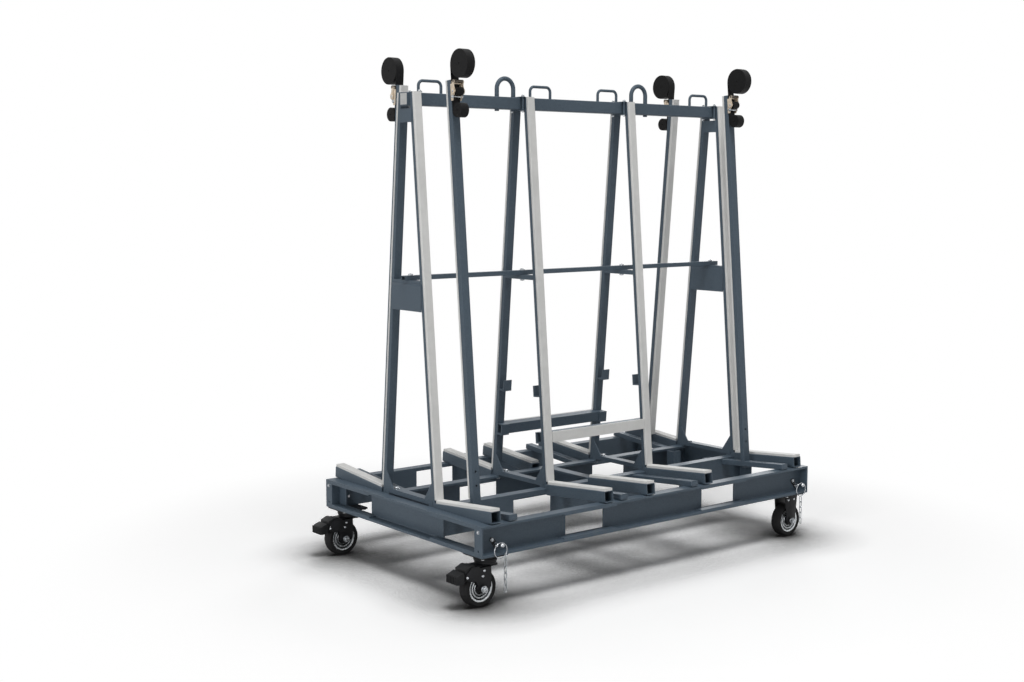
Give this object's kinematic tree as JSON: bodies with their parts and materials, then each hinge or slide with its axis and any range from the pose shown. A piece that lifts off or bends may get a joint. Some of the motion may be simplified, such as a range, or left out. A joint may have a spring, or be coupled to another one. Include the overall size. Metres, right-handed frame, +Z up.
{
  "type": "slab a-frame trolley",
  "caption": "Wheeled steel A-frame rack with a channel base, padded leaning legs and sloping supports, removable strap posts, lifting eyes and braked swivel casters.",
  "frame": {"origin": "floor level under the middle of the whole object", "axes": "+X along the length towards the rigid casters, +Y across towards the rear side, +Z up"},
  "size_m": [2.107, 1.248, 2.2688],
  "materials": {
    "blue_grey_coat": "fine-textured blue-grey powder coat",
    "grey_pad": "matt light-grey rubber",
    "grey_plug": "matt light-grey plastic",
    "bright_zinc": "bright zinc plate",
    "ratchet_zinc": "yellow zinc plate",
    "ratchet_grip": "dark bronze-grey coat",
    "webbing": "black woven polyester webbing",
    "black_coat": "satin black coat",
    "tyre_rubber": "matt black rubber",
    "rim_zinc": "pressed zinc-plated steel"
  },
  "bodies": {
    "frame": {"side_channel_front": "blue_grey_coat", "side_channel_rear": "blue_grey_coat", "end_channels": "blue_grey_coat", "inner_channels": "blue_grey_coat", "centre_ties": "blue_grey_coat", "support_tubes": "blue_grey_coat", "post_rails": "blue_grey_coat", "a_frame_1": "blue_grey_coat", "a_frame_2": "blue_grey_coat", "a_frame_3": "blue_grey_coat", "a_frame_4": "blue_grey_coat", "slab_pads": "grey_pad", "top_beam": "blue_grey_coat", "beam_plugs": "grey_plug", "lifting_eyes": "blue_grey_coat", "grab_handles": "blue_grey_coat", "mid_rail": "blue_grey_coat", "frame_bolts": "bright_zinc", "caster_plates": "black_coat", "rigid_forks": "black_coat"},
    "swivel_front": {"swivel_fork_front": "black_coat"},
    "pedal_front": {"brake_pedal_front": "black_coat"},
    "wheel_front_left": {"tyre_front_left": "tyre_rubber", "rim_front_left": "rim_zinc"},
    "wheel_front_right": {"tyre_front_right": "tyre_rubber", "rim_front_right": "rim_zinc"},
    "post_front_left": {"post_front_left": "blue_grey_coat", "post_pad_front_left": "grey_pad", "ratchet_front_left": "ratchet_zinc", "strap_front_left": "webbing"},
    "handle_front_left": {"ratchet_handle_front_left": "ratchet_grip"},
    "post_front_right": {"post_front_right": "blue_grey_coat", "post_pad_front_right": "grey_pad", "ratchet_front_right": "ratchet_zinc", "strap_front_right": "webbing"},
    "handle_front_right": {"ratchet_handle_front_right": "ratchet_grip"},
    "bar_front": {"cross_bar_front": "blue_grey_coat", "cross_bar_pad_front": "grey_pad"},
    "pin_front_left": {"lock_pin_front_left": "bright_zinc"},
    "pin_front_right": {"lock_pin_front_right": "bright_zinc"},
    "swivel_rear": {"swivel_fork_rear": "black_coat"},
    "pedal_rear": {"brake_pedal_rear": "black_coat"},
    "wheel_rear_left": {"tyre_rear_left": "tyre_rubber", "rim_rear_left": "rim_zinc"},
    "wheel_rear_right": {"tyre_rear_right": "tyre_rubber", "rim_rear_right": "rim_zinc"},
    "post_rear_left": {"post_rear_left": "blue_grey_coat", "post_pad_rear_left": "grey_pad", "ratchet_rear_left": "ratchet_zinc", "strap_rear_left": "webbing"},
    "handle_rear_left": {"ratchet_handle_rear_left": "ratchet_grip"},
    "post_rear_right": {"post_rear_right": "blue_grey_coat", "post_pad_rear_right": "grey_pad", "ratchet_rear_right": "ratchet_zinc", "strap_rear_right": "webbing"},
    "handle_rear_right": {"ratchet_handle_rear_right": "ratchet_grip"},
    "bar_rear": {"cross_bar_rear": "blue_grey_coat", "cross_bar_pad_rear": "grey_pad"},
    "pin_rear_left": {"lock_pin_rear_left": "bright_zinc"},
    "pin_rear_right": {"lock_pin_rear_right": "bright_zinc"}
  },
  "joints": [
    {"name": "swivel_turn_front", "type": "hinge", "parent": "frame", "child": "swivel_front", "pos_m": [-0.8805, -0.527, 0.2], "axis": [0, 0, 1], "continuous": true},
    {"name": "pedal_press_front", "type": "hinge", "parent": "swivel_front", "child": "pedal_front", "pos_m": [-0.9973, -0.527, 0.138], "axis": [0, -1, 0], "range_deg": [0, 12]},
    {"name": "wheel_spin_front_left", "type": "hinge", "parent": "swivel_front", "child": "wheel_front_left", "pos_m": [-0.9205, -0.527, 0.08], "axis": [0, 1, 0], "continuous": true},
    {"name": "wheel_spin_front_right", "type": "hinge", "parent": "frame", "child": "wheel_front_right", "pos_m": [0.9735, -0.527, 0.08], "axis": [0, 1, 0], "continuous": true},
    {"name": "post_lift_front_left", "type": "slide", "parent": "frame", "child": "post_front_left", "axis": [0, 0.0854, 0.9963], "range_m": [0, 0.06]},
    {"name": "ratchet_swing_front_left", "type": "hinge", "parent": "post_front_left", "child": "handle_front_left", "pos_m": [-0.7885, -0.22684, 2.0978], "axis": [1, 0, 0], "range_deg": [0, 100]},
    {"name": "post_lift_front_right", "type": "slide", "parent": "frame", "child": "post_front_right", "axis": [0, 0.0854, 0.9963], "range_m": [0, 0.06]},
    {"name": "ratchet_swing_front_right", "type": "hinge", "parent": "post_front_right", "child": "handle_front_right", "pos_m": [0.8815, -0.22684, 2.0978], "axis": [1, 0, 0], "range_deg": [0, 100]},
    {"name": "bar_lift_front", "type": "slide", "parent": "frame", "child": "bar_front", "axis": [0, 0.0854, 0.9963], "range_m": [0, 0.06]},
    {"name": "pin_pull_front_left", "type": "slide", "parent": "frame", "child": "pin_front_left", "axis": [0, -1, 0], "range_m": [0, 0.025]},
    {"name": "pin_pull_front_right", "type": "slide", "parent": "frame", "child": "pin_front_right", "axis": [0, -1, 0], "range_m": [0, 0.025]},
    {"name": "swivel_turn_rear", "type": "hinge", "parent": "frame", "child": "swivel_rear", "pos_m": [-0.8805, 0.527, 0.2], "axis": [0, 0, 1], "continuous": true},
    {"name": "pedal_press_rear", "type": "hinge", "parent": "swivel_rear", "child": "pedal_rear", "pos_m": [-0.9973, 0.527, 0.138], "axis": [0, -1, 0], "range_deg": [0, 12]},
    {"name": "wheel_spin_rear_left", "type": "hinge", "parent": "swivel_rear", "child": "wheel_rear_left", "pos_m": [-0.9205, 0.527, 0.08], "axis": [0, 1, 0], "continuous": true},
    {"name": "wheel_spin_rear_right", "type": "hinge", "parent": "frame", "child": "wheel_rear_right", "pos_m": [0.9735, 0.527, 0.08], "axis": [0, 1, 0], "continuous": true},
    {"name": "post_lift_rear_left", "type": "slide", "parent": "frame", "child": "post_rear_left", "axis": [0, -0.0854, 0.9963], "range_m": [0, 0.06]},
    {"name": "ratchet_swing_rear_left", "type": "hinge", "parent": "post_rear_left", "child": "handle_rear_left", "pos_m": [-0.7885, 0.22684, 2.0978], "axis": [-1, 0, 0], "range_deg": [0, 100]},
    {"name": "post_lift_rear_right", "type": "slide", "parent": "frame", "child": "post_rear_right", "axis": [0, -0.0854, 0.9963], "range_m": [0, 0.06]},
    {"name": "ratchet_swing_rear_right", "type": "hinge", "parent": "post_rear_right", "child": "handle_rear_right", "pos_m": [0.8815, 0.22684, 2.0978], "axis": [-1, 0, 0], "range_deg": [0, 100]},
    {"name": "bar_lift_rear", "type": "slide", "parent": "frame", "child": "bar_rear", "axis": [0, -0.0854, 0.9963], "range_m": [0, 0.06]},
    {"name": "pin_pull_rear_left", "type": "slide", "parent": "frame", "child": "pin_rear_left", "axis": [0, 1, 0], "range_m": [0, 0.025]},
    {"name": "pin_pull_rear_right", "type": "slide", "parent": "frame", "child": "pin_rear_right", "axis": [0, 1, 0], "range_m": [0, 0.025]}
  ]
}
